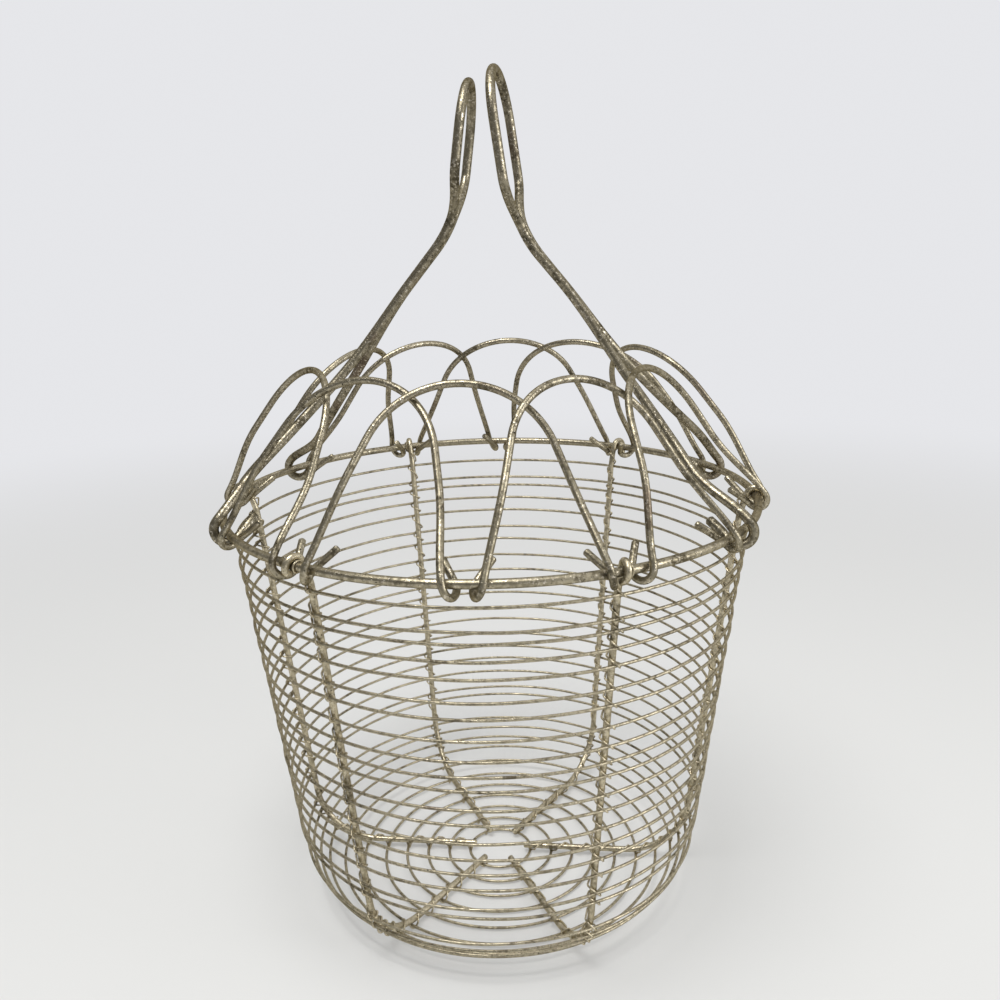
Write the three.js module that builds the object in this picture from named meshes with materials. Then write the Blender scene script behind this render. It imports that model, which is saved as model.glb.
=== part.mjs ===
import * as THREE from 'three';

// Collapsible wire egg basket, in millimetres, Z up.
// The origin is the centre of the base, on the surface it stands on.
// Azimuth is measured from the front (-Y) towards +X.

// Wire diameters
const rimWire = 3;
const petalWire = 2.4;
const handleWire = 3.4;
const ribWire = 2.4;
const ringWire = 1.1;
const lashWire = 0.7;

// Bowl: heights and radii of wire centrelines
const rimRadius = 100;
const rimHeight = 160;
const wallTopInset = 2.4;
const wallBaseRadius = 78.3;
const cornerRadius = 28.3;

// Places of the rings, as shares of the rim height below the rim
const wallRingDropShares = [
  0.055, 0.106, 0.131, 0.169, 0.2075, 0.259, 0.297, 0.3475, 0.394, 0.4325, 0.466,
  0.513, 0.551, 0.598, 0.64, 0.678, 0.7205, 0.772, 0.797, 0.872, 0.899, 0.924,
];

// Radii of the base rings, as shares of the wall radius at the base
const baseRingShares = [0.92, 0.843, 0.741, 0.626, 0.511, 0.396, 0.281, 0.166];

// Clearances
const seatGap = 0.3;
const lashGap = 0.2;
const eyeGap = 0.5;
const hookGap = 0.85;
const crossingGap = 1;

// Loops on the rim
const loopCount = 12;
const ribCount = 6;
const ribFootOffset = 5;
const bareFootOffset = 4;
const stubLength = 10.5;
const stubLean = THREE.MathUtils.degToRad(48);
const hookTilt = THREE.MathUtils.degToRad(2);

// Slides of the places where two loops hook on side by side, as shares of their pitch.
// Every second place has a rib between the hooks and stays put.
const meetingSlideShares = [0.065, 0, -0.03, 0, 0, 0, 0.12, 0, 0.08, 0, 0.09, 0];

// Petal loops
const petalHeight = 57.4;
const petalTaper = THREE.MathUtils.degToRad(24);
const petalLean = THREE.MathUtils.degToRad(29);

// Handle loops
const handleExtraLean = THREE.MathUtils.degToRad(10.9);
const gripLean = THREE.MathUtils.degToRad(8);
const neckHalfWidth = 2.4;
const gripHalfWidth = 17;
const handleArm = 100;
const neckHeight = 127.4;
const neckBendRadius = 42;
const gripFlare = 18;
const armInset = 2;
const gripLength = 54.2;

// How the two hand-bent handles differ, the right one first
const neckShares = [0.968, 1];
const gripLengthShares = [1, 0.863];
const gripToeShares = [-0.085, -0.02];

// Rib eye over the rim
const ribLeave = 7.5;
const eyeEnd = THREE.MathUtils.degToRad(-80);

// Counts of facets
const rimSides = 6;
const rimSegments = 48;
const ringSides = 4;
const ringSegments = 24;
const petalSides = 5;
const handleSides = 6;
const ribSides = 5;
const lashSides = 3;
const hookSteps = 6;
const petalArcSteps = 12;
const petalArmSteps = 3;
const handleArmSteps = 9;
const neckSteps = 4;
const flareSteps = 4;
const gripSteps = 8;
const eyeSteps = 8;
const cornerSteps = 7;
const wallSteps = 5;
const gapSamples = 4;

// Sizes that follow from the named ones
const loopPitch = (2 * Math.PI) / loopCount;
const ribOffset = (ringWire + ribWire) / 2 + seatGap;
const ringFloor = cornerOf(ringWire, ringSides) * Math.cos(Math.PI / ringSides);
const wallTopRadius = rimRadius - wallTopInset;
const wallSlope = Math.atan2(wallTopRadius - wallBaseRadius, rimHeight - ringFloor);
const cornerCentreHeight = ringFloor + cornerRadius;
const cornerCentreRadius =
  wallBaseRadius + cornerRadius * (Math.tan(wallSlope) - 1 / Math.cos(wallSlope));
const cornerSweep = Math.PI / 2 - wallSlope;
const wallFootHeight = cornerCentreHeight - cornerRadius * Math.sin(wallSlope);
const wallLength = (rimHeight - wallFootHeight) / Math.cos(wallSlope);
const cornerLength = cornerRadius * cornerSweep;
const evenFootAngle = loopPitch - (ribFootOffset + bareFootOffset) / (2 * rimRadius);
const evenChord = rimRadius * Math.cos(evenFootAngle);
const handleLean = petalLean + handleExtraLean;
const crossingHalf = (evenChord - petalHeight * Math.sin(petalLean)) * Math.tan(loopPitch / 2);
const loopSkew = (petalWire + crossingGap) / (2 * crossingHalf);

// Colours of the aged wire
const wireColours = {
  rim: 0x8d8779,
  petal: 0x989182,
  handle: 0x8a8374,
  rib: 0x86806f,
  ring: 0xa39c8c,
  lash: 0xa8a294,
};

// Corner radius of a section with the same area as the round wire
function cornerOf(wire, sides) {
  const share = Math.sqrt((2 * Math.PI) / (sides * Math.sin((2 * Math.PI) / sides)));
  return (wire / 2) * share;
}

// Path through chosen stations, which keep their own spacing
class WirePath extends THREE.Curve {
  constructor(stations) {
    super();
    this.stations = stations;
  }

  getPoint(t, target = new THREE.Vector3()) {
    const spans = this.stations.length - 1;
    const place = Math.min(Math.max(t, 0), 1) * spans;
    const span = Math.min(Math.floor(place), spans - 1);
    return target.lerpVectors(this.stations[span], this.stations[span + 1], place - span);
  }

  getPointAt(u, target) {
    return this.getPoint(u, target);
  }

  getTangentAt(u, target = new THREE.Vector3()) {
    const last = this.stations.length - 1;
    const near = Math.round(u * last);
    const before = Math.max(near - 1, 0);
    const after = Math.min(near + 1, last);
    const into = this.stations[near].clone().sub(this.stations[before]).normalize();
    const out = this.stations[after].clone().sub(this.stations[near]).normalize();
    return target.addVectors(into, out).normalize();
  }
}

// Solid wire along stations
function wireBody(stations, wire, sides) {
  const corner = cornerOf(wire, sides);
  const outline = [];
  for (let i = 0; i < sides; i += 1) {
    const angle = (2 * Math.PI * i) / sides;
    outline.push(new THREE.Vector2(corner * Math.cos(angle), corner * Math.sin(angle)));
  }
  return new THREE.ExtrudeGeometry(new THREE.Shape(outline), {
    steps: stations.length - 1,
    extrudePath: new WirePath(stations),
    bevelEnabled: false,
  });
}

// Closed ring, with a flat of its section turned to the given normal
function ringBody(radius, wire, sides, segments, normalAngle) {
  const corner = cornerOf(wire, sides);
  const outline = [];
  for (let i = 0; i <= sides; i += 1) {
    const angle = normalAngle + (2 * Math.PI * (i + 1 / 2)) / sides;
    outline.push(new THREE.Vector2(radius + corner * Math.cos(angle), corner * Math.sin(angle)));
  }
  const body = new THREE.LatheGeometry(outline, segments);
  body.rotateX(Math.PI / 2);
  return body;
}

// Named piece of wire with its own material
function piece(name, body, colour, roughness) {
  const material = new THREE.MeshStandardMaterial({ color: colour, roughness, metalness: 0.9 });
  const mesh = new THREE.Mesh(body, material);
  mesh.name = name;
  return mesh;
}

// Place on the ring profile, at a distance from the rim level down the wall
function profileAt(distance) {
  if (distance <= wallLength) {
    const drop = distance * Math.cos(wallSlope);
    const radius = wallTopRadius - distance * Math.sin(wallSlope);
    return { radius, height: rimHeight - drop, normal: -wallSlope };
  }
  if (distance <= wallLength + cornerLength) {
    const normal = -wallSlope - (distance - wallLength) / cornerRadius;
    return {
      radius: cornerCentreRadius + cornerRadius * Math.cos(normal),
      height: cornerCentreHeight + cornerRadius * Math.sin(normal),
      normal,
    };
  }
  const run = distance - wallLength - cornerLength;
  return { radius: cornerCentreRadius - run, height: ringFloor, normal: -Math.PI / 2 };
}

// Distance down the profile at which it reaches a height
function distanceAtHeight(height) {
  if (height >= wallFootHeight) {
    return (rimHeight - height) / Math.cos(wallSlope);
  }
  const normal = Math.asin((height - cornerCentreHeight) / cornerRadius);
  return wallLength + cornerRadius * (-wallSlope - normal);
}

// Distance down the profile at which the base reaches a radius
function distanceAtRadius(radius) {
  if (radius <= cornerCentreRadius) {
    return wallLength + cornerLength + cornerCentreRadius - radius;
  }
  const normal = -Math.acos((radius - cornerCentreRadius) / cornerRadius);
  return wallLength + cornerRadius * (-wallSlope - normal);
}

// Point off the profile: outward along its normal, and sideways along the ring
function offProfile(distance, outward, sideways) {
  const place = profileAt(distance);
  const radius = place.radius + outward * Math.cos(place.normal);
  const height = place.height + outward * Math.sin(place.normal);
  return new THREE.Vector3(sideways, -radius, height);
}

// Rib: an eye over the rim, the wall, the corner and the base
function ribStations(endRadius) {
  const eyeRadius = (rimWire + ribWire) / 2 + eyeGap;
  const leave = offProfile(ribLeave, -ribOffset, 0);
  const away = Math.hypot(-leave.y - rimRadius, leave.z - rimHeight);
  const towards = Math.atan2(leave.z - rimHeight, -leave.y - rimRadius) + 2 * Math.PI;
  const eyeStart = towards - Math.acos(eyeRadius / away);
  const stations = [];
  for (let i = 0; i <= eyeSteps; i += 1) {
    const angle = eyeEnd + ((eyeStart - eyeEnd) * i) / eyeSteps;
    const radius = rimRadius + eyeRadius * Math.cos(angle);
    stations.push(new THREE.Vector3(0, -radius, rimHeight + eyeRadius * Math.sin(angle)));
  }
  for (let i = 0; i < wallSteps; i += 1) {
    const distance = ribLeave + ((wallLength - ribLeave) * i) / wallSteps;
    stations.push(offProfile(distance, -ribOffset, 0));
  }
  for (let i = 0; i <= cornerSteps; i += 1) {
    stations.push(offProfile(wallLength + (cornerLength * i) / cornerSteps, -ribOffset, 0));
  }
  stations.push(offProfile(distanceAtRadius(endRadius), -ribOffset, 0));
  return stations;
}

// Lashing: one turn round rib and ring at every crossing, as one wire.
// Over the ring it strokes down to the right, then goes behind the rib.
function lashStations(crossings) {
  const lashCorner = cornerOf(lashWire, lashSides);
  const front = ringFloor + lashCorner + lashGap;
  const side = (front - ribOffset) / 2;
  const back = -ribOffset - cornerOf(ribWire, ribSides) - lashCorner - lashGap;
  const strokeHalf = (ribWire + lashWire) / 2;
  const sideHalf = strokeHalf + 3 * seatGap;
  const strokeClimb = ringWire / 2 + seatGap;
  const sideClimb = strokeClimb + ringWire;
  const stations = [];
  crossings.forEach((crossing, i) => {
    stations.push(offProfile(crossing - sideClimb, side, -sideHalf));
    stations.push(offProfile(crossing - strokeClimb, front, -strokeHalf));
    stations.push(offProfile(crossing + strokeClimb, front, strokeHalf));
    stations.push(offProfile(crossing + sideClimb, side, sideHalf));
    if (i < crossings.length - 1) {
      const start = crossing + sideClimb;
      const rest = crossings[i + 1] - sideClimb - start;
      stations.push(offProfile(start + rest / 3, back, strokeHalf));
      stations.push(offProfile(start + (2 * rest) / 3, back, -strokeHalf));
    }
  });
  return stations;
}

// Least distance between stretches of one wire that are not neighbours
function leastSelfGap(stations, wire) {
  const samples = [];
  for (let i = 0; i < stations.length - 1; i += 1) {
    for (let j = 0; j < gapSamples; j += 1) {
      samples.push(stations[i].clone().lerp(stations[i + 1], j / gapSamples));
    }
  }
  let least = Infinity;
  for (let i = 0; i < samples.length; i += 1) {
    for (let j = i + 2 * gapSamples; j < samples.length; j += 1) {
      least = Math.min(least, samples[i].distanceTo(samples[j]));
    }
  }
  return least - wire;
}

// Azimuth of a place where two loops hook on side by side
function meetingAngle(place) {
  return loopPitch * (place + meetingSlideShares[(place + loopCount) % loopCount]);
}

// Angle between a meeting place and the feet to both sides of it
function footAngle(place) {
  const bare = place % 2 === 0;
  return (bare ? bareFootOffset : ribFootOffset) / rimRadius;
}

// Feet of a loop: they hook on beside the meeting places to both sides of it
function feetOf(place, wire) {
  const low = meetingAngle(place - 1) + footAngle(place - 1);
  const high = meetingAngle(place + 1) - footAngle(place + 1);
  const half = (high - low) / 2;
  return {
    azimuth: (low + high) / 2,
    halfWidth: rimRadius * Math.sin(half),
    chord: rimRadius * Math.cos(half),
    reach: ((rimWire + wire) / 2 + hookGap) / Math.cos(half),
  };
}

// Hook of one foot: a stub inside the rim, then half a turn under it.
// Loops lie in their own frame: X along the hinge, Z up the loop, -Y outward.
function hookStations(feet, side) {
  const { halfWidth, reach } = feet;
  const stations = [];
  const stubX = halfWidth - stubLength * Math.sin(stubLean);
  stations.push(new THREE.Vector3(side * stubX, reach, stubLength * Math.cos(stubLean)));
  for (let i = 0; i <= hookSteps; i += 1) {
    const turn = (Math.PI * i) / hookSteps;
    const x = halfWidth + reach * Math.sin(hookTilt) * Math.sin(turn);
    const z = -reach * Math.cos(hookTilt) * Math.sin(turn);
    stations.push(new THREE.Vector3(side * x, reach * Math.cos(turn), z));
  }
  return stations;
}

// Skew of a loop: each passes outside one neighbour and inside the other
function skewed(stations, height) {
  return stations.map((station) => {
    const rise = THREE.MathUtils.smoothstep(station.z / height, 0, 1 / 2);
    return new THREE.Vector3(station.x, station.y + loopSkew * station.x * rise, station.z);
  });
}

// Petal loop: straight arms that draw together, and a round top
function petalStations(feet) {
  const arcHeight =
    (petalHeight - feet.halfWidth * Math.cos(petalTaper)) / (1 - Math.sin(petalTaper));
  const arcRadius = petalHeight - arcHeight;
  const arcHalf = Math.PI / 2 - petalTaper;
  const left = hookStations(feet, -1);
  const right = hookStations(feet, 1).reverse();
  const top = [];
  for (let i = 0; i <= petalArcSteps; i += 1) {
    const angle = arcHalf * ((2 * i) / petalArcSteps - 1);
    const x = arcRadius * Math.sin(angle);
    top.push(new THREE.Vector3(x, -feet.reach, arcHeight + arcRadius * Math.cos(angle)));
  }
  const leftArm = armBetween(left[left.length - 1], top[0]);
  const rightArm = armBetween(top[top.length - 1], right[0]);
  return skewed([...left, ...leftArm, ...top, ...rightArm, ...right], petalHeight);
}

// Stations between the ends of a straight arm
function armBetween(from, to) {
  const stations = [];
  for (let i = 1; i < petalArmSteps; i += 1) {
    stations.push(from.clone().lerp(to, i / petalArmSteps));
  }
  return stations;
}

// Handle loop: arms that sweep in to a close neck, bent up there, then an open grip
function handleStations(feet, which) {
  const bend = handleLean - gripLean;
  const bendTangent = neckBendRadius * Math.tan(bend / 2);
  const bendStart = neckHeight * neckShares[which] - bendTangent;
  const bendLength = neckBendRadius * bend;
  const neckMiddle = bendStart + bendLength / 2;
  const gripRise = gripLength * gripLengthShares[which] - bendTangent - gripHalfWidth;
  const gripCentre = bendStart + bendLength + gripRise;
  const onSpine = (width, along) => {
    const turned = Math.min(Math.max(along - bendStart, 0), bendLength) / neckBendRadius;
    const beyond = Math.max(along - bendStart - bendLength, 0);
    const rise = Math.min(along, bendStart) + neckBendRadius * Math.sin(turned);
    const out = neckBendRadius * (1 - Math.cos(turned));
    const y = -feet.reach - out - beyond * Math.sin(turned);
    return new THREE.Vector3(width, y, rise + beyond * Math.cos(turned));
  };
  const halfWidthAt = (along) => {
    const left = Math.max(1 - along / handleArm, 0);
    const arm = (feet.halfWidth - neckHalfWidth) * left * left;
    const flare = THREE.MathUtils.smoothstep(along - neckMiddle, 0, gripFlare);
    return neckHalfWidth + arm + (gripHalfWidth - neckHalfWidth) * flare;
  };
  const half = (side) => {
    const stations = hookStations(feet, side);
    const addSpan = (from, to, steps) => {
      for (let i = 1; i <= steps; i += 1) {
        const along = from + ((to - from) * i) / steps;
        stations.push(onSpine(side * halfWidthAt(along), along));
      }
    };
    addSpan(0, bendStart, handleArmSteps);
    addSpan(bendStart, bendStart + bendLength, neckSteps);
    addSpan(bendStart + bendLength, gripCentre, flareSteps);
    return stations;
  };
  const top = [];
  for (let i = 1; i < gripSteps; i += 1) {
    const angle = Math.PI * (1 - i / gripSteps);
    const along = gripCentre + gripHalfWidth * Math.sin(angle);
    top.push(onSpine(gripHalfWidth * Math.cos(angle), along));
  }
  const whole = [...half(-1), ...top, ...half(1).reverse()];
  return whole.map((station) => {
    const rise = THREE.MathUtils.smoothstep(station.z / petalHeight, 0, 2 / 5);
    const fall = THREE.MathUtils.smoothstep(station.z, petalHeight, handleArm);
    const shift = (armInset - loopSkew * station.x) * rise * (1 - fall);
    const open = THREE.MathUtils.smoothstep(station.z, handleArm, neckHeight);
    const toe = gripToeShares[which] * station.x * open;
    return new THREE.Vector3(station.x, station.y + shift + toe, station.z);
  });
}

// Loop hung on the rim by its feet, leaning inward
function hangLoop(mesh, feet, lean) {
  const turn = new THREE.Group();
  turn.rotation.z = feet.azimuth;
  mesh.position.set(0, -feet.chord, rimHeight);
  mesh.rotation.x = -lean;
  turn.add(mesh);
  return turn;
}

const basket = new THREE.Group();

// Rim
const rim = piece('rim_ring', ringBody(rimRadius, rimWire, rimSides, rimSegments, 0), wireColours.rim, 0.5);
rim.position.z = rimHeight;
basket.add(rim);

// Wall rings
const crossings = [];
wallRingDropShares.forEach((share, i) => {
  const distance = distanceAtHeight(rimHeight * (1 - share));
  const place = profileAt(distance);
  const body = ringBody(place.radius, ringWire, ringSides, ringSegments, place.normal);
  const ring = piece(`wall_ring_${String(i + 1).padStart(2, '0')}`, body, wireColours.ring, 0.45);
  ring.position.z = place.height;
  basket.add(ring);
  crossings.push(distance);
});

// Base rings
baseRingShares.forEach((share, i) => {
  const distance = distanceAtRadius(wallBaseRadius * share);
  const place = profileAt(distance);
  const body = ringBody(place.radius, ringWire, ringSides, ringSegments, place.normal);
  const ring = piece(`base_ring_${i + 1}`, body, wireColours.ring, 0.45);
  ring.position.z = place.height;
  basket.add(ring);
  if (distance < wallLength + cornerLength - cornerRadius / 3) {
    crossings.push(distance);
  }
});

// Ribs and their lashings
const innerRing = wallBaseRadius * baseRingShares[baseRingShares.length - 1];
const ribPath = ribStations(innerRing - ribWire);
const lashPath = lashStations(crossings);
console.log('least gap of a lashing to itself, mm:', leastSelfGap(lashPath, lashWire).toFixed(3));
for (let i = 0; i < ribCount; i += 1) {
  const azimuth = loopPitch + (2 * Math.PI * i) / ribCount;
  const rib = piece(`rib_wire_${i + 1}`, wireBody(ribPath, ribWire, ribSides), wireColours.rib, 0.5);
  rib.rotation.z = azimuth;
  const lash = piece(`rib_lashing_${i + 1}`, wireBody(lashPath, lashWire, lashSides), wireColours.lash, 0.45);
  lash.rotation.z = azimuth;
  basket.add(rib, lash);
}

// Loops: petals all round, with the two handles opposite each other
const handlePlaces = [loopCount / 4, (3 * loopCount) / 4];
const handleNames = ['handle_loop_right', 'handle_loop_left'];
let petals = 0;
for (let i = 0; i < loopCount; i += 1) {
  const handle = handlePlaces.indexOf(i);
  if (handle >= 0) {
    const feet = feetOf(i, handleWire);
    const body = wireBody(handleStations(feet, handle), handleWire, handleSides);
    const mesh = piece(handleNames[handle], body, wireColours.handle, 0.5);
    basket.add(hangLoop(mesh, feet, handleLean));
  } else {
    petals += 1;
    const feet = feetOf(i, petalWire);
    const body = wireBody(petalStations(feet), petalWire, petalSides);
    const name = `petal_loop_${String(petals).padStart(2, '0')}`;
    basket.add(hangLoop(piece(name, body, wireColours.petal, 0.45), feet, petalLean));
  }
}

export default basket;
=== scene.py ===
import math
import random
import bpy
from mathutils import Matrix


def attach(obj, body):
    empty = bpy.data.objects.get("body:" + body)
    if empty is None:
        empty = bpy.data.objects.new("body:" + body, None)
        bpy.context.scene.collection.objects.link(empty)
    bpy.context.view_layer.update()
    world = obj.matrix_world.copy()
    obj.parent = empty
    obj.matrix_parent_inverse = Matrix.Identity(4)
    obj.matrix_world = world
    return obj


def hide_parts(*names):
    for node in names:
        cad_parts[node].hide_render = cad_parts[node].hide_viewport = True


bl_info = {
    "name": "Wire Egg Basket",
    "version": (1, 0, 0),
    "blender": (4, 5, 0),
    "location": "3D View > Sidebar > Basket",
    "description": (
        "Bends the wires of a collapsible egg basket and gives them an aged tinned finish"
    ),
    "category": "Object",
}

import bpy
import numpy as np
from mathutils import Matrix, Vector, noise

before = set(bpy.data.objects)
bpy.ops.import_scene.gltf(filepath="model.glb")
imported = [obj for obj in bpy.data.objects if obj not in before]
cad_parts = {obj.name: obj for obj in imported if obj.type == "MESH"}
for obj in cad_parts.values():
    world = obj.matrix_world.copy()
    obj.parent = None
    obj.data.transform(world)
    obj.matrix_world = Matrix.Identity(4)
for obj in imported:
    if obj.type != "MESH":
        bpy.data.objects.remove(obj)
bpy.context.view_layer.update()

MM = 0.001

# Bowl, in metres: centrelines of its wires. The base rings run high enough for the
# turns of the binding under them to stay above the table.
RIM_RADIUS = 100 * MM
RIM_HEIGHT = 160 * MM
WALL_TOP_INSET = 2.4 * MM
WALL_BASE_RADIUS = 78.3 * MM
CORNER_RADIUS = 28.3 * MM
RING_FLOOR = 1.3 * MM

# Wall rings, as shares of the rim's height down from it, and base rings, as shares
# of the wall's radius at the base
WALL_RING_DROPS = (
    0.055, 0.106, 0.131, 0.169, 0.2075, 0.259, 0.297, 0.3475, 0.394, 0.4325, 0.466,
    0.513, 0.551, 0.598, 0.64, 0.678, 0.7205, 0.772, 0.797, 0.872, 0.899, 0.924,
)
BASE_RING_SHARES = (0.92, 0.843, 0.741, 0.626, 0.511, 0.396, 0.281, 0.166)

# Rings: length of a step, and wavelength of their waviness. The base rings and the top
# ring are truer than the rest, and the top ring sits a little closer in, so that the
# handles clear it when they hang outside.
RIM_STEPS = 360
RING_STEP = 2.2 * MM
RING_LEAST_STEPS = 36
RING_WAVELENGTH = 26 * MM
RING_SEED = 100
TRUE_RING_SHARE = 0.3
TOP_RING = "wall_ring_01"
TOP_RING_SNUG = 0.3 * MM

# Ribs: inside the rings, with an eye over the rim whose outer end is set aside
RIB_COUNT = 6
RIB_OFFSET = 2.05 * MM
RIB_LEAVE = 7.5 * MM
RIB_PAST_LAST_RING = 2.4 * MM
RIB_STEPS = 160
EYE_RADIUS = 3.0 * MM
EYE_END = math.radians(-80)
EYE_ASIDE = 2.3 * MM
EYE_STEPS = 24

# Binding wire: its winding round the rim, with where it starts beside the eye and how
# far it advances in millimetres, then its strokes over the rings, whose looseness and
# slip are random, in millimetres
WINDING_START = math.radians(-218)
WINDING_TURNS = 1.3
WINDING_STEPS = 32
WINDING_REACH = 1.9 * MM
WINDING_FROM = 0.55
WINDING_ADVANCE = 0.7
LASH_SEED = 300
LASH_FRONT = 0.95 * MM
LASH_BACK = -RIB_OFFSET - 1.6 * MM
LASH_LOOSE = (0.1, 0.55)
LASH_SLIP = (-0.25, 0.25)
LASH_RISE = 2.2 * MM
LASH_RISE_SHARE = 0.42

# Loops: the petals and the handles hang on the rim in the same way
LOOP_COUNT = 12
LOOP_PITCH = 2 * math.pi / LOOP_COUNT
MEETING_SLIDES = (0.065, 0, -0.03, 0, 0, 0, 0.12, 0, 0.08, 0, 0.09, 0)
RIB_FOOT_OFFSET = 5 * MM
BARE_FOOT_OFFSET = 4 * MM
EVEN_HALF_ANGLE = LOOP_PITCH - (RIB_FOOT_OFFSET + BARE_FOOT_OFFSET) / (2 * RIM_RADIUS)
EVEN_CHORD = RIM_RADIUS * math.cos(EVEN_HALF_ANGLE)
STUB_LENGTH = 10.5 * MM
STUB_LEAN = math.radians(48)
HOOK_STEPS = 16
HOOK_SWAY_OUT = 0.4 * MM
RIM_CLEARANCE = 2.35 * MM

# Petals: those between two bare places sway more under the rim than those at the ribs
PETAL_HEIGHT = 57.4 * MM
PETAL_TAPER = math.radians(24)
PETAL_LEAN = math.radians(29)
PETAL_STEPS = 40
PETAL_SKEW_RISE = 0.5
ODD_PETAL_SWAY = 1.4 * MM
EVEN_PETAL_SWAY = 0.7 * MM

# Handles: arms that draw together to a neck, then a grip of two strands
HANDLE_LEAN = math.radians(39.9)
HANDLE_SWAY = 0.5 * MM
HANDLE_STEPS = 140
HANDLE_SKEW_RISE = 0.4
GRIP_LEAN = math.radians(8)
NECK_HALF_WIDTH = 2.4 * MM
GRIP_HALF_WIDTH = 17 * MM
HANDLE_ARM = 100 * MM
NECK_HEIGHT = 127.4 * MM
NECK_BEND_RADIUS = 42 * MM
GRIP_FLARE = 18 * MM
GRIP_LENGTH = 54.2 * MM
GRIP_STEPS = 24
ARM_INSET = 2 * MM

# The right handle and the left one differ in these
NECK_SHARES = (0.968, 1)
GRIP_LENGTH_SHARES = (1, 0.863)
GRIP_TOE_SHARES = (-0.085, -0.02)

# Skew that takes each loop outside one neighbour and inside the other
CROSSING_SHIFT = 3.4 * MM
CROSSING_HALF = (EVEN_CHORD - PETAL_HEIGHT * math.sin(PETAL_LEAN)) * math.tan(LOOP_PITCH / 2)
LOOP_SKEW = CROSSING_SHIFT / (2 * CROSSING_HALF)

# How finely each kind of wire is followed, and how far its bends are rounded
RIB_SPACING, RIB_ROUNDING = 0.8 * MM, 0.8 * MM
LASH_SPACING, LASH_ROUNDING = 0.25 * MM, 0.32 * MM
PETAL_SPACING, PETAL_ROUNDING = 0.6 * MM, 0.9 * MM
HANDLE_SPACING, HANDLE_ROUNDING = 0.8 * MM, 1.2 * MM

# Cut ends of a wire: how far they go on, and how narrow they get, as shares
CUT_LIP = 0.18
CUT_NARROW = 0.66

# How each wire has aged: tarnish, brown patches, pits, fineness of the specks and tint
WIRE_AGES = {
    "rim wire": (0.06, 0.02, -0.01, 1500, 1.0),
    "ring wire": (0.06, 0.03, 0.0, 2200, 1.2),
    "rib wire": (0.06, 0.0, -0.02, 1500, 1.4),
    "lashing wire": (0.04, 0.0, -0.02, 2400, 1.45),
    "petal wire": (0.08, 0.05, -0.01, 1500, 0.9),
    "handle wire": (0.10, 0.10, -0.02, 1300, 0.74),
}
METALLIC = 0.94
EDGE_TINT = (0.43, 0.38, 0.27)
RELIEF_STRENGTH = 0.5
RELIEF_DEPTH = 0.14 * MM

# Stage: the floor fades into the surroundings far off, and the room that gloss shows is
# dimmer towards the front and overhead
FLOOR_HALF = 3.0
FLOOR_ROUGHNESS = 0.7
FLOOR_SHINE = 0.2
FADE_FROM, FADE_TO = 0.2, 1.1
NEAR_GLOW, FAR_GLOW = 0.32, 1.0
DIM_SIDE = (-0.66, -0.70, 0.28)
DIM_FROM, DIM_TO = -0.1, 0.8
PALE_LEVEL, DIM_LEVEL = 1.0, 0.2
SOFT_COLOUR = (0.96, 0.98, 1.0)

# Lamps: place, aim and share of the lamp power
LAMPS = {
    "lamp above": ((-0.15, -0.30, 1.1), (0, 0, 0.12), 1),
    "lamp right": ((1.0, -0.35, 0.55), (0, 0, 0.15), 0.5),
}
LAMP_SIZE = 0.6

CAMERA_PLACE = (0.04136, -0.34614, 0.25279)
CAMERA_HEADING = math.radians(6.251)
CAMERA_PITCH = math.radians(15.332)
CAMERA_ROLL = math.radians(-1.369)
CAMERA_LENS = 33.508
CAMERA_SENSOR = 36
CAMERA_CLIP = (0.01, 20)

# Profile of the wall, corner and base
WALL_SLOPE = math.atan2(RIM_RADIUS - WALL_TOP_INSET - WALL_BASE_RADIUS, RIM_HEIGHT - RING_FLOOR)
CORNER_HEIGHT = RING_FLOOR + CORNER_RADIUS
CORNER_INSET = math.tan(WALL_SLOPE) - 1 / math.cos(WALL_SLOPE)
CORNER_CENTRE = WALL_BASE_RADIUS + CORNER_RADIUS * CORNER_INSET
WALL_FOOT = CORNER_HEIGHT - CORNER_RADIUS * math.sin(WALL_SLOPE)
WALL_LENGTH = (RIM_HEIGHT - WALL_FOOT) / math.cos(WALL_SLOPE)
CORNER_LENGTH = CORNER_RADIUS * (math.pi / 2 - WALL_SLOPE)

HANDLES = {3: "handle_loop_right", 9: "handle_loop_left"}


class BasketSizes(bpy.types.PropertyGroup):
    rim_wire: bpy.props.FloatProperty(
        name="Rim wire", description="Diameter of the rim's wire",
        default=0.003, unit="LENGTH", precision=4
    )
    petal_wire: bpy.props.FloatProperty(
        name="Petal wire", description="Diameter of the short loops' wire",
        default=0.0024, unit="LENGTH", precision=4
    )
    handle_wire: bpy.props.FloatProperty(
        name="Handle wire", description="Diameter of the long loops' wire",
        default=0.0034, unit="LENGTH", precision=4
    )
    rib_wire: bpy.props.FloatProperty(
        name="Rib wire", description="Diameter of the upright ribs' wire",
        default=0.0024, unit="LENGTH", precision=4
    )
    ring_wire: bpy.props.FloatProperty(
        name="Ring wire", description="Diameter of the thin rings' wire",
        default=0.0011, unit="LENGTH", precision=4
    )
    lash_wire: bpy.props.FloatProperty(
        name="Binding wire", description="Diameter of the binding wire",
        default=0.0007, unit="LENGTH", precision=4
    )
    waviness: bpy.props.FloatProperty(
        name="Waviness", description="How far hand-bent wire strays from its true line",
        default=0.0003,
        unit="LENGTH", precision=4
    )


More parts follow.
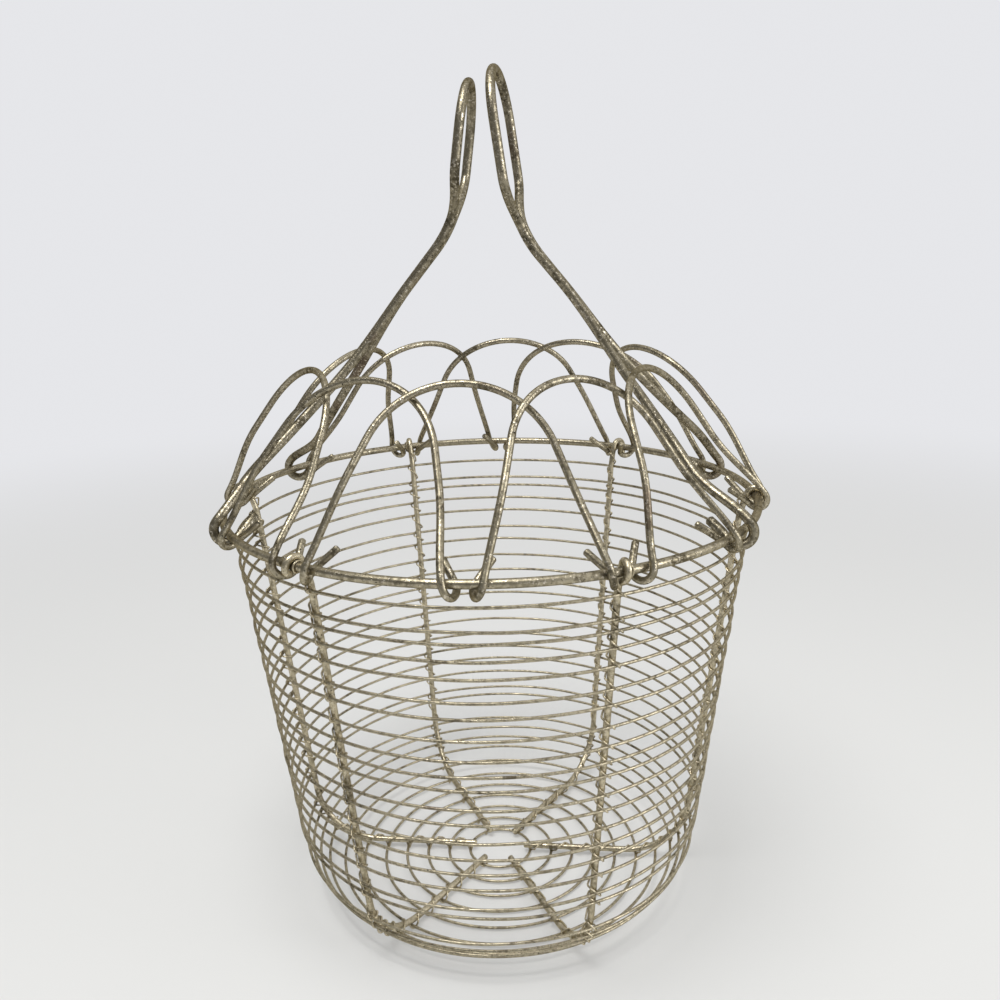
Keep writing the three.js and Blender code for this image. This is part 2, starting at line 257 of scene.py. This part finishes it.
class BasketFinish(bpy.types.PropertyGroup):
    bright: bpy.props.FloatVectorProperty(
        name="Worn metal", description="Colour of the tin where it is worn bright",
        default=(0.43, 0.38, 0.27),
        subtype="COLOR", size=3, min=0, max=1
    )
    # Colour of the fine pale specks: partly worn scuffs, partly painted glints that stand in for
    # fine highlights
    scuff_and_glint: bpy.props.FloatVectorProperty(
        name="Scuffs", description="Colour of the fine bright scuffs", default=(0.80, 0.73, 0.60),
        subtype="COLOR", size=3, min=0, max=1
    )
    dull: bpy.props.FloatVectorProperty(
        name="Tarnish", description="Colour of the grey-brown tarnish",
        default=(0.12, 0.102, 0.066),
        subtype="COLOR", size=3, min=0, max=1
    )
    brown: bpy.props.FloatVectorProperty(
        name="Brown tarnish", description="Colour of the browner patches",
        default=(0.16, 0.115, 0.085),
        subtype="COLOR", size=3, min=0, max=1
    )
    pit: bpy.props.FloatVectorProperty(
        name="Pits", description="Colour of the dark pits", default=(0.03, 0.026, 0.02),
        subtype="COLOR", size=3, min=0, max=1
    )
    roughness: bpy.props.FloatProperty(
        name="Roughness", description="Roughness of the worn metal",
        default=0.3, min=0, max=1, subtype="FACTOR"
    )


class StageLook(bpy.types.PropertyGroup):
    floor: bpy.props.FloatVectorProperty(
        name="Floor", description="Colour of the pale floor", default=(0.70, 0.695, 0.675),
        subtype="COLOR", size=3, min=0, max=1
    )
    surroundings: bpy.props.FloatVectorProperty(
        name="Surroundings", description="Colour of the pale wall round about",
        default=(0.79, 0.795, 0.82),
        subtype="COLOR", size=3, min=0, max=1
    )
    soft_light: bpy.props.FloatProperty(
        name="Soft light", description="Strength of the light from all round",
        default=0.6, min=0, max=2
    )
    lamp_power: bpy.props.FloatProperty(
        name="Lamp power", description="Power of the large soft lamp",
        default=8.0, unit="POWER", min=0
    )


# Radius, height and outward direction on the ring profile, at a distance down the wall
# from the level of the rim
def profile_at(distance):
    if distance <= WALL_LENGTH:
        radius = RIM_RADIUS - WALL_TOP_INSET - distance * math.sin(WALL_SLOPE)
        return radius, RIM_HEIGHT - distance * math.cos(WALL_SLOPE), -WALL_SLOPE
    if distance <= WALL_LENGTH + CORNER_LENGTH:
        normal = -WALL_SLOPE - (distance - WALL_LENGTH) / CORNER_RADIUS
        radius = CORNER_CENTRE + CORNER_RADIUS * math.cos(normal)
        return radius, CORNER_HEIGHT + CORNER_RADIUS * math.sin(normal), normal
    run = distance - WALL_LENGTH - CORNER_LENGTH
    return CORNER_CENTRE - run, RING_FLOOR, -math.pi / 2


def distance_at_height(height):
    if height >= WALL_FOOT:
        return (RIM_HEIGHT - height) / math.cos(WALL_SLOPE)
    normal = math.asin((height - CORNER_HEIGHT) / CORNER_RADIUS)
    return WALL_LENGTH + CORNER_RADIUS * (-WALL_SLOPE - normal)


def distance_at_radius(radius):
    if radius <= CORNER_CENTRE:
        return WALL_LENGTH + CORNER_LENGTH + CORNER_CENTRE - radius
    normal = -math.acos((radius - CORNER_CENTRE) / CORNER_RADIUS)
    return WALL_LENGTH + CORNER_RADIUS * (-WALL_SLOPE - normal)


# Point off the profile: outward along its normal, and sideways along the ring
def off_profile(distance, outward, sideways):
    radius, height, normal = profile_at(distance)
    return (sideways, -radius - outward * math.cos(normal), height + outward * math.sin(normal))


def ring_distances():
    wall = [distance_at_height(RIM_HEIGHT * (1 - drop)) for drop in WALL_RING_DROPS]
    base = [distance_at_radius(WALL_BASE_RADIUS * share) for share in BASE_RING_SHARES]
    return wall, base


def smoothstep(value, low, high):
    share = min(max((value - low) / (high - low), 0), 1)
    return share * share * (3 - 2 * share)


# Even stations along a line through the given points
def even_stations(points, spacing):
    points = np.array(points, float)
    steps = np.linalg.norm(np.diff(points, axis=0), axis=1)
    along = np.concatenate([[0], np.cumsum(steps)])
    count = max(int(round(along[-1] / spacing)), 2)
    places = np.linspace(0, along[-1], count + 1)
    return np.stack([np.interp(places, along, points[:, k]) for k in range(3)], axis=1)


# Rounds off corners, as wire does when it is bent; the ends stay where they are
def softened(points, reach, spacing):
    width = reach / spacing
    span = int(math.ceil(3 * width))
    weights = np.exp(-0.5 * (np.arange(-span, span + 1) / width) ** 2)
    weights /= weights.sum()
    head = 2 * points[0] - points[span:0:-1]
    tail = 2 * points[-1] - points[-2:-span - 2:-1]
    long = np.vstack([head, points, tail])
    return np.stack([np.convolve(long[:, k], weights, mode="valid") for k in range(3)], axis=1)


# Small strays of a hand-bent wire, with a seed so that they come out the same each time
def wandered(points, amount, wavelength, seed):
    chance = random.Random(seed)
    start = Vector([chance.uniform(-50, 50) for _ in range(3)])
    noise.seed_set(seed)
    moved = []
    for point in points:
        stray = noise.noise_vector(Vector(point) / wavelength + start)
        moved.append(np.array(point) + np.array(stray) * amount)
    return np.array(moved)


def turned(points, azimuth):
    turn = np.array(Matrix.Rotation(azimuth, 3, "Z"))
    return np.array(points) @ turn.T


# End station of a wire, moved on a little past its neighbour
def lengthened(end, neighbour, lip):
    return end + (end - neighbour) / np.linalg.norm(end - neighbour) * lip


# One wire: a curve with a round section and slightly rounded cut ends
def wire(name, points, diameter, material, body, replaced, closed, sides):
    data = bpy.data.curves.new(name, "CURVE")
    data.dimensions = "3D"
    data.bevel_depth = diameter / 2
    data.bevel_resolution = sides
    data.use_fill_caps = True
    points = np.array(points)
    radii = np.ones(len(points))
    if not closed:
        lip = CUT_LIP * diameter
        first = lengthened(points[0], points[1], lip)
        last = lengthened(points[-1], points[-2], lip)
        points = np.vstack([first, points, last])
        radii = np.concatenate([[CUT_NARROW], radii, [CUT_NARROW]])
    spline = data.splines.new("POLY")
    spline.points.add(len(points) - 1)
    spline.points.foreach_set("co", np.hstack([points, np.ones((len(points), 1))]).ravel())
    spline.points.foreach_set("radius", radii)
    spline.use_cyclic_u = closed
    spline.use_smooth = True
    data.materials.append(material)
    piece = bpy.data.objects.new(name, data)
    bpy.context.scene.collection.objects.link(piece)
    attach(piece, body)
    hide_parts(*replaced)
    return piece


def opaque(colour, tint=1):
    return tuple(part * tint for part in colour) + (1,)


# Fills a node's inputs, by name or number, with values or with other nodes' outputs
def fill_inputs(tree, node, inputs):
    for key, value in inputs.items():
        if isinstance(value, bpy.types.NodeSocket):
            tree.links.new(value, node.inputs[key])
        else:
            node.inputs[key].default_value = value


def add_node(tree, kind, inputs=None, **settings):
    node = tree.nodes.new(f"ShaderNode{kind}")
    for key, value in settings.items():
        setattr(node, key, value)
    fill_inputs(tree, node, inputs or {})
    return node


# Value eased from one range into another
def span(tree, value, low, high, to_low=0.0, to_high=1.0):
    inputs = {
        "Value": value, "From Min": low, "From Max": high, "To Min": to_low, "To Max": to_high
    }
    return add_node(tree, "MapRange", inputs, interpolation_type="SMOOTHSTEP").outputs["Result"]


def reckoned(tree, kind, first, second):
    return add_node(tree, "Math", {0: first, 1: second}, operation=kind).outputs[0]


def blend(tree, share, low, high):
    return add_node(tree, "Mix", {0: share, 6: low, 7: high}, data_type="RGBA").outputs[2]


# Aged tinned wire: worn bright metal under a grey-brown tarnish, brown in places, with dark pits
# and fine pale specks that are partly worn scuffs and partly painted glints
def aged_wire(name):
    known = bpy.data.materials.get(name)
    if known:
        return known
    tarnish, brown, pits, grain, tint = WIRE_AGES[name]
    finish = bpy.context.scene.basket_finish
    material = bpy.data.materials.new(name)
    material.use_nodes = True
    tree = material.node_tree
    tree.nodes.clear()
    place = add_node(tree, "TexCoord").outputs["Object"]

    def grown(scale, detail, rough, low, high):
        inputs = {"Vector": place, "Scale": scale, "Detail": detail, "Roughness": rough}
        return span(tree, add_node(tree, "TexNoise", inputs).outputs["Fac"], low, high)

    def times(value, share):
        return reckoned(tree, "MULTIPLY", value, share)

    def plus(first, second):
        return reckoned(tree, "ADD", first, second)

    def minus(first, second):
        return reckoned(tree, "SUBTRACT", first, second)

    patches = grown(scale=70, detail=4, rough=0.6, low=0.60 - tarnish, high=0.74 - tarnish)
    browned = grown(scale=48, detail=3, rough=0.55, low=0.66 - brown, high=0.80 - brown)
    mottle = grown(scale=560, detail=4, rough=0.65, low=0.40, high=0.60)
    speck = grown(scale=grain, detail=2, rough=0.5, low=0.62 - pits, high=0.70 - pits)
    scuff_and_glint = grown(scale=grain * 0.8, detail=2, rough=0.6, low=0.56, high=0.68)

    # Colour: half of the tarnish lies in large patches and half in a fine mottle
    dulled = plus(times(patches, 0.5), times(mottle, 0.5))
    metal = blend(tree, dulled, opaque(finish.bright, tint), opaque(finish.dull, tint))
    metal = blend(tree, times(browned, 0.6), metal, opaque(finish.brown))
    # Fine pale specks, partly worn scuffs and partly painted glints
    metal = blend(tree, times(scuff_and_glint, 0.6), metal, opaque(finish.scuff_and_glint))
    colour = blend(tree, speck, metal, opaque(finish.pit))

    # Gloss: tarnish and pits are rougher than worn metal, and the pale specks of scuffs and painted
    # glints are smoother
    rough = plus(times(dulled, 0.22), finish.roughness)
    rough = minus(rough, times(scuff_and_glint, 0.1))
    rough = plus(rough, times(speck, 0.25))

    # Relief: pits lie deep, and the mottle and the pale specks stand up a little
    height = plus(minus(times(mottle, 0.35), speck), times(scuff_and_glint, 0.3))
    bump = add_node(
        tree, "Bump", {"Strength": RELIEF_STRENGTH, "Distance": RELIEF_DEPTH, "Height": height}
    )
    shader = add_node(tree, "BsdfPrincipled", {
        "Base Color": colour,
        "Roughness": rough,
        "Normal": bump.outputs["Normal"],
        "Metallic": METALLIC,
        "Specular Tint": opaque(EDGE_TINT),
    })
    add_node(tree, "OutputMaterial", {"Surface": shader.outputs["BSDF"]})
    return material


def meeting_angle(place):
    return LOOP_PITCH * (place + MEETING_SLIDES[place % LOOP_COUNT])


# Angle between a meeting place and the feet to both sides of it
def foot_angle(place):
    return (RIB_FOOT_OFFSET if place % 2 else BARE_FOOT_OFFSET) / RIM_RADIUS


# Feet of a loop: azimuth, half width, distance of their chord and reach of the hooks
def feet_of(place, diameter):
    low = meeting_angle(place - 1) + foot_angle(place - 1)
    high = meeting_angle(place + 1) - foot_angle(place + 1)
    half = (high - low) / 2
    reach = (RIM_CLEARANCE + diameter / 2) / math.cos(half)
    return (low + high) / 2, RIM_RADIUS * math.sin(half), RIM_RADIUS * math.cos(half), reach


# Hook: a cut stub inside the rim that leans to the middle of its loop, then a bend
# under the rim that sways away from the middle before it goes up into the arm
def hook_stations(feet, side, sway_under):
    _, half_width, _, reach = feet
    up, across = STUB_LENGTH * math.cos(STUB_LEAN), STUB_LENGTH * math.sin(STUB_LEAN)
    stations = [(side * (half_width - across), reach, up)]
    for i in range(HOOK_STEPS + 1):
        turn = math.pi * i / HOOK_STEPS
        sway = sway_under * math.sin(turn) - HOOK_SWAY_OUT * (1 - math.cos(turn)) / 2
        place = side * (half_width + sway)
        stations.append((place, reach * math.cos(turn), -reach * math.sin(turn)))
    return stations


def petal_stations(feet, sway):
    _, half_width, _, reach = feet
    arc_rise = PETAL_HEIGHT - half_width * math.cos(PETAL_TAPER)
    arc_height = arc_rise / (1 - math.sin(PETAL_TAPER))
    arc_radius = PETAL_HEIGHT - arc_height
    arc_half = math.pi / 2 - PETAL_TAPER
    stations = hook_stations(feet, -1, sway)
    for i in range(PETAL_STEPS + 1):
        angle = arc_half * (2 * i / PETAL_STEPS - 1)
        up = arc_height + arc_radius * math.cos(angle)
        stations.append((arc_radius * math.sin(angle), -reach, up))
    stations += hook_stations(feet, 1, sway)[::-1]
    points = even_stations(stations, PETAL_SPACING)
    rise = [smoothstep(z / PETAL_HEIGHT, 0, PETAL_SKEW_RISE) for z in points[:, 2]]
    points[:, 1] += LOOP_SKEW * points[:, 0] * rise
    return softened(points, PETAL_ROUNDING, PETAL_SPACING)


# The arms draw in along a spine that bends upright at the neck, and open into the grip
def handle_stations(feet, which):
    _, half_width, _, reach = feet
    bend = HANDLE_LEAN - GRIP_LEAN
    tangent = NECK_BEND_RADIUS * math.tan(bend / 2)
    bend_start = NECK_HEIGHT * NECK_SHARES[which] - tangent
    bend_length = NECK_BEND_RADIUS * bend
    grip_rise = GRIP_LENGTH * GRIP_LENGTH_SHARES[which] - tangent - GRIP_HALF_WIDTH
    grip_centre = bend_start + bend_length + grip_rise

    def on_spine(width, along):
        angle = min(max(along - bend_start, 0), bend_length) / NECK_BEND_RADIUS
        beyond = max(along - bend_start - bend_length, 0)
        up = min(along, bend_start) + NECK_BEND_RADIUS * math.sin(angle) + beyond * math.cos(angle)
        out = NECK_BEND_RADIUS * (1 - math.cos(angle)) + beyond * math.sin(angle)
        return (width, -reach - out, up)

    def half_width_at(along):
        left = max(1 - along / HANDLE_ARM, 0)
        flare = smoothstep(along - bend_start - bend_length / 2, 0, GRIP_FLARE)
        arm = (half_width - NECK_HALF_WIDTH) * left * left
        return NECK_HALF_WIDTH + arm + (GRIP_HALF_WIDTH - NECK_HALF_WIDTH) * flare

    sides = {}
    for side in (-1, 1):
        sides[side] = hook_stations(feet, side, HANDLE_SWAY)
        for i in range(1, HANDLE_STEPS + 1):
            along = grip_centre * i / HANDLE_STEPS
            sides[side].append(on_spine(side * half_width_at(along), along))
    top = []
    for i in range(1, GRIP_STEPS):
        angle = math.pi * (1 - i / GRIP_STEPS)
        width, rise = GRIP_HALF_WIDTH * math.cos(angle), GRIP_HALF_WIDTH * math.sin(angle)
        top.append(on_spine(width, grip_centre + rise))
    points = even_stations(sides[-1] + top + sides[1][::-1], HANDLE_SPACING)
    heights = points[:, 2]
    rise = np.array([smoothstep(z / PETAL_HEIGHT, 0, HANDLE_SKEW_RISE) for z in heights])
    fall = np.array([smoothstep(z, PETAL_HEIGHT, HANDLE_ARM) for z in heights])
    toe = np.array([
        GRIP_TOE_SHARES[which] * smoothstep(z, HANDLE_ARM, NECK_HEIGHT) for z in heights
    ])
    inset = (ARM_INSET - LOOP_SKEW * points[:, 0]) * rise * (1 - fall)
    points[:, 1] += inset + toe * points[:, 0]
    return softened(points, HANDLE_ROUNDING, HANDLE_SPACING)


# Loop hung on the rim by its feet, leaning inward
def hung(points, feet, lean):
    azimuth, _, chord, _ = feet
    tilt = np.array(Matrix.Rotation(-lean, 3, "X"))
    placed = points @ tilt.T + np.array([0, -chord, RIM_HEIGHT])
    return turned(placed, azimuth)


def rib_azimuth(number):
    return LOOP_PITCH + 2 * math.pi * number / RIB_COUNT


# Rib: round the rim in an eye, down inside the rings and on towards the middle of the base
def rib_stations():
    leave = off_profile(RIB_LEAVE, -RIB_OFFSET, 0)
    across, up = -leave[1] - RIM_RADIUS, leave[2] - RIM_HEIGHT
    inner = math.atan2(up, across) + 2 * math.pi
    start = inner - math.acos(EYE_RADIUS / math.hypot(across, up))
    stations = []
    for i in range(EYE_STEPS + 1):
        angle = EYE_END + (start - EYE_END) * i / EYE_STEPS
        aside = -EYE_ASIDE * (1 - i / EYE_STEPS)
        out, rise = EYE_RADIUS * math.cos(angle), EYE_RADIUS * math.sin(angle)
        stations.append((aside, -RIM_RADIUS - out, RIM_HEIGHT + rise))
    end = distance_at_radius(WALL_BASE_RADIUS * BASE_RING_SHARES[-1] - RIB_PAST_LAST_RING)
    for i in range(RIB_STEPS + 1):
        distance = RIB_LEAVE + (end - RIB_LEAVE) * i / RIB_STEPS
        stations.append(off_profile(distance, -RIB_OFFSET, 0))
    return softened(even_stations(stations, RIB_SPACING), RIB_ROUNDING, RIB_SPACING)


# Binding wire: wound round the rim beside the rib's eye, then down the rib, with a
# slanting stroke over its front at every ring, and round behind it to the next. Each
# station is given down the profile, outward from the rings and to the side.
def lash_stations(crossings, seed):
    chance = random.Random(seed)
    stations = []
    for i in range(WINDING_STEPS + 1):
        angle = WINDING_START + 2 * math.pi * WINDING_TURNS * i / WINDING_STEPS
        across = (WINDING_FROM + WINDING_ADVANCE * i / WINDING_STEPS) * MM
        out, rise = WINDING_REACH * math.cos(angle), WINDING_REACH * math.sin(angle)
        stations.append((across, -RIM_RADIUS - out, RIM_HEIGHT + rise))

    def lead(distance, outward, sideways):
        stations.append(off_profile(distance, outward, sideways))

    lead(2.6 * MM, LASH_BACK, 0.6 * MM)
    lead(3.0 * MM, LASH_BACK, -0.7 * MM)
    for i, crossing in enumerate(crossings):
        loose = chance.uniform(*LASH_LOOSE) * MM
        slip = chance.uniform(*LASH_SLIP) * MM
        above = crossing - (crossings[i - 1] if i else 0)
        rise = min(LASH_RISE, LASH_RISE_SHARE * above)
        lead(crossing - rise - 0.5 * MM + slip, -RIB_OFFSET - 0.4 * MM, -1.7 * MM - loose)
        lead(crossing - rise + slip, -RIB_OFFSET + 1.0 * MM, -1.4 * MM - loose / 2)
        lead(crossing - rise / 2 + slip, -RIB_OFFSET + 1.6 * MM, -0.55 * MM)
        lead(crossing - 0.3 * MM, LASH_FRONT, 0.6 * MM)
        lead(crossing + 0.5 * MM, LASH_FRONT - 0.1 * MM, 1.35 * MM)
        lead(crossing + 1.1 * MM, -RIB_OFFSET + 0.6 * MM, 1.9 * MM + loose / 2)
        if i < len(crossings) - 1:
            below = crossings[i + 1] - crossing
            lead(crossing + max(0.35 * below, 1.2 * MM), LASH_BACK, 0.6 * MM)
            lead(crossing + max(0.45 * below, 1.3 * MM), LASH_BACK, -0.7 * MM)
    return softened(even_stations(stations, LASH_SPACING), LASH_ROUNDING, LASH_SPACING)


# Stations round a level ring
def circle(radius, height, steps):
    turns = [2 * math.pi * i / steps for i in range(steps)]
    return [(radius * math.cos(turn), radius * math.sin(turn), height) for turn in turns]


class BASKET_OT_rim(bpy.types.Operator):
    """Bends the thick wire of the rim, on which every loop and rib hangs"""

    bl_idname = "basket.rim"
    bl_label = "Rim"

    def execute(self, context):
        wire(
            "rim_wire_round", circle(RIM_RADIUS, RIM_HEIGHT, RIM_STEPS),
            context.scene.basket_sizes.rim_wire, aged_wire("rim wire"),
            "basket_bowl", ["rim_ring"], closed=True, sides=6,
        )
        return {"FINISHED"}


class BASKET_OT_rings(bpy.types.Operator):
    """Bends the thin rings of the wall and the base"""

    bl_idname = "basket.rings"
    bl_label = "Rings"

    def execute(self, context):
        sizes = context.scene.basket_sizes
        material = aged_wire("ring wire")
        wall, base = ring_distances()
        named = [(f"wall_ring_{i + 1:02d}", d) for i, d in enumerate(wall)]
        named += [(f"base_ring_{i + 1}", d) for i, d in enumerate(base)]
        for seed, (name, distance) in enumerate(named):
            radius, height, _ = profile_at(distance)
            if name == TOP_RING:
                radius -= TOP_RING_SNUG
            steps = max(int(2 * math.pi * radius / RING_STEP), RING_LEAST_STEPS)
            in_base = name.startswith("base")
            share = TRUE_RING_SHARE if in_base or name == TOP_RING else 1
            points = wandered(
                circle(radius, height, steps), sizes.waviness * share, RING_WAVELENGTH,
                RING_SEED + seed,
            )
            if in_base:
                points[:, 2] = np.maximum(points[:, 2], height)
            wire(
                f"{name}_round", points, sizes.ring_wire, material,
                "basket_bowl", [name], closed=True, sides=3,
            )
        return {"FINISHED"}


class BASKET_OT_ribs(bpy.types.Operator):
    """Bends the six upright ribs, from an eye over the rim to the middle of the base"""

    bl_idname = "basket.ribs"
    bl_label = "Ribs"

    def execute(self, context):
        path = rib_stations()
        for i in range(RIB_COUNT):
            name = f"rib_wire_{i + 1}"
            wire(
                f"{name}_round", turned(path, rib_azimuth(i)),
                context.scene.basket_sizes.rib_wire, aged_wire("rib wire"),
                "basket_bowl", [name], closed=False, sides=4,
            )
        return {"FINISHED"}


class BASKET_OT_lashings(bpy.types.Operator):
    """Winds the fine binding wire down each rib, with one stroke over every ring"""

    bl_idname = "basket.lashings"
    bl_label = "Lashings"

    def execute(self, context):
        wall, base = ring_distances()
        for i in range(RIB_COUNT):
            name = f"rib_lashing_{i + 1}"
            wire(
                f"{name}_round", turned(lash_stations(wall + base, LASH_SEED + i), rib_azimuth(i)),
                context.scene.basket_sizes.lash_wire, aged_wire("lashing wire"),
                "basket_bowl", [name], closed=False, sides=2,
            )
        return {"FINISHED"}


class BASKET_OT_petals(bpy.types.Operator):
    """Bends the ten short loops that overlap round the mouth"""

    bl_idname = "basket.petals"
    bl_label = "Petal loops"

    def execute(self, context):
        diameter = context.scene.basket_sizes.petal_wire
        places = [i for i in range(LOOP_COUNT) if i not in HANDLES]
        for number, i in enumerate(places, 1):
            name = f"petal_loop_{number:02d}"
            feet = feet_of(i, diameter)
            sway = ODD_PETAL_SWAY if i % 2 else EVEN_PETAL_SWAY
            wire(
                f"{name}_round", hung(petal_stations(feet, sway), feet, PETAL_LEAN),
                diameter, aged_wire("petal wire"),
                name, [name], closed=False, sides=5,
            )
        return {"FINISHED"}


class BASKET_OT_handles(bpy.types.Operator):
    """Bends the two long loops with a narrow grip that carry the basket"""

    bl_idname = "basket.handles"
    bl_label = "Handle loops"

    def execute(self, context):
        diameter = context.scene.basket_sizes.handle_wire
        for which, (i, name) in enumerate(HANDLES.items()):
            feet = feet_of(i, diameter)
            wire(
                f"{name}_round", hung(handle_stations(feet, which), feet, HANDLE_LEAN),
                diameter, aged_wire("handle wire"),
                name, [name], closed=False, sides=6,
            )
        return {"FINISHED"}


class BASKET_OT_stage(bpy.types.Operator):
    """Sets out the pale floor, the soft lamps, the pale surroundings and the camera"""

    bl_idname = "basket.stage"
    bl_label = "Stage"

    def execute(self, context):
        look = context.scene.stage_look
        scene = context.scene
        scene.view_settings.view_transform = "Standard"

        data = bpy.data.meshes.new("floor")
        corners = ((-1, -1), (1, -1), (1, 1), (-1, 1))
        points = [(x * FLOOR_HALF, y * FLOOR_HALF, 0) for x, y in corners]
        data.from_pydata(points, [], [(0, 1, 2, 3)])
        floor = bpy.data.objects.new("floor", data)
        scene.collection.objects.link(floor)
        data.materials.append(self.floor_paint(look))
        scene.world = self.surroundings(look)

        for name, (place, aim, share) in LAMPS.items():
            self.lamp(scene, name, place, aim, look.lamp_power * share)
        self.camera(scene)
        return {"FINISHED"}

    # Pale floor: it keeps the basket's soft shadow, and fades into the surroundings far off
    def floor_paint(self, look):
        paint = bpy.data.materials.new("pale floor")
        paint.use_nodes = True
        tree = paint.node_tree
        shader = tree.nodes["Principled BSDF"]
        fill_inputs(tree, shader, {
            "Base Color": opaque(look.floor),
            "Roughness": FLOOR_ROUGHNESS,
            "Specular IOR Level": FLOOR_SHINE,
        })
        place = add_node(tree, "TexCoord").outputs["Object"]
        away = add_node(tree, "VectorMath", {0: place}, operation="LENGTH").outputs["Value"]
        fade = span(tree, away, FADE_FROM, FADE_TO, NEAR_GLOW, FAR_GLOW)
        share = reckoned(tree, "MULTIPLY", fade, self.seen(tree))
        tone = blend(tree, fade, opaque(look.floor), opaque(look.surroundings))
        glow = add_node(tree, "Emission", {"Color": tone})
        parts = {0: share, 1: shader.outputs["BSDF"], 2: glow.outputs["Emission"]}
        mix = add_node(tree, "MixShader", parts)
        fill_inputs(tree, tree.nodes["Material Output"], {"Surface": mix.outputs[0]})
        return paint

    # One for the rays that show the surroundings: to the camera, and in gloss and glass
    def seen(self, tree):
        path = add_node(tree, "LightPath")
        value = path.outputs["Is Camera Ray"]
        for key in ("Is Glossy Ray", "Is Transmission Ray"):
            value = reckoned(tree, "MAXIMUM", value, path.outputs[key])
        return value

    # Pale wall round about, with a dimmer room in front and overhead that only gloss shows
    def surroundings(self, look):
        world = bpy.data.worlds.new("pale surroundings")
        world.use_nodes = True
        tree = world.node_tree
        tree.nodes.clear()
        place = add_node(tree, "TexCoord").outputs["Generated"]
        side = add_node(tree, "VectorMath", {0: place, 1: DIM_SIDE}, operation="DOT_PRODUCT")
        dim = span(tree, side.outputs["Value"], DIM_FROM, DIM_TO, PALE_LEVEL, DIM_LEVEL)
        path = add_node(tree, "LightPath")
        level = reckoned(tree, "MAXIMUM", dim, path.outputs["Is Camera Ray"])
        pale = add_node(tree, "Background", {"Color": opaque(look.surroundings), "Strength": level})
        soft = add_node(
            tree, "Background", {"Color": opaque(SOFT_COLOUR), "Strength": look.soft_light}
        )
        parts = {0: self.seen(tree), 1: soft.outputs[0], 2: pale.outputs[0]}
        mix = add_node(tree, "MixShader", parts)
        add_node(tree, "OutputWorld", {"Surface": mix.outputs[0]})
        return world

    def lamp(self, scene, name, place, aim, power):
        data = bpy.data.lights.new(name, "AREA")
        data.shape = "DISK"
        data.size = LAMP_SIZE
        data.energy = power
        lamp = bpy.data.objects.new(name, data)
        lamp.location = place
        lamp.rotation_euler = (Vector(aim) - Vector(place)).to_track_quat("-Z", "Y").to_euler()
        scene.collection.objects.link(lamp)

    # Camera at the place from which the photograph shows the basket
    def camera(self, scene):
        forward = Vector((
            -math.sin(CAMERA_HEADING) * math.cos(CAMERA_PITCH),
            math.cos(CAMERA_HEADING) * math.cos(CAMERA_PITCH),
            -math.sin(CAMERA_PITCH),
        ))
        level = Vector((math.cos(CAMERA_HEADING), math.sin(CAMERA_HEADING), 0))
        above = level.cross(forward)
        right = math.cos(CAMERA_ROLL) * level + math.sin(CAMERA_ROLL) * above
        up = -math.sin(CAMERA_ROLL) * level + math.cos(CAMERA_ROLL) * above
        data = bpy.data.cameras.new("camera")
        data.lens = CAMERA_LENS
        data.sensor_width = CAMERA_SENSOR
        data.clip_start, data.clip_end = CAMERA_CLIP
        camera = bpy.data.objects.new("camera", data)
        turn = Matrix((right, up, -forward)).transposed().to_4x4()
        camera.matrix_world = Matrix.Translation(CAMERA_PLACE) @ turn
        scene.collection.objects.link(camera)
        scene.camera = camera


class BASKET_PT_panel(bpy.types.Panel):
    """Lists the steps that make the basket and the values they use"""

    bl_idname = "BASKET_PT_panel"
    bl_label = "Wire Egg Basket"
    bl_space_type = "VIEW_3D"
    bl_region_type = "UI"
    bl_category = "Basket"

    def draw(self, context):
        scene = context.scene
        for group in (scene.basket_sizes, scene.basket_finish, scene.stage_look):
            box = self.layout.box()
            for key in group.__annotations__:
                box.prop(group, key)
        for step in STEPS:
            self.layout.operator(step.bl_idname)


STEPS = (
    BASKET_OT_rim,
    BASKET_OT_rings,
    BASKET_OT_ribs,
    BASKET_OT_lashings,
    BASKET_OT_petals,
    BASKET_OT_handles,
    BASKET_OT_stage,
)
CLASSES = (BasketSizes, BasketFinish, StageLook) + STEPS + (BASKET_PT_panel,)


def register():
    for made in CLASSES:
        bpy.utils.register_class(made)
    bpy.types.Scene.basket_sizes = bpy.props.PointerProperty(type=BasketSizes)
    bpy.types.Scene.basket_finish = bpy.props.PointerProperty(type=BasketFinish)
    bpy.types.Scene.stage_look = bpy.props.PointerProperty(type=StageLook)


def unregister():
    del bpy.types.Scene.stage_look
    del bpy.types.Scene.basket_finish
    del bpy.types.Scene.basket_sizes
    for made in reversed(CLASSES):
        bpy.utils.unregister_class(made)


def main():
    register()
    bpy.ops.basket.stage()
    bpy.ops.basket.rim()
    bpy.ops.basket.rings()
    bpy.ops.basket.ribs()
    bpy.ops.basket.lashings()
    bpy.ops.basket.petals()
    bpy.ops.basket.handles()


if __name__ == "__main__":
    main()
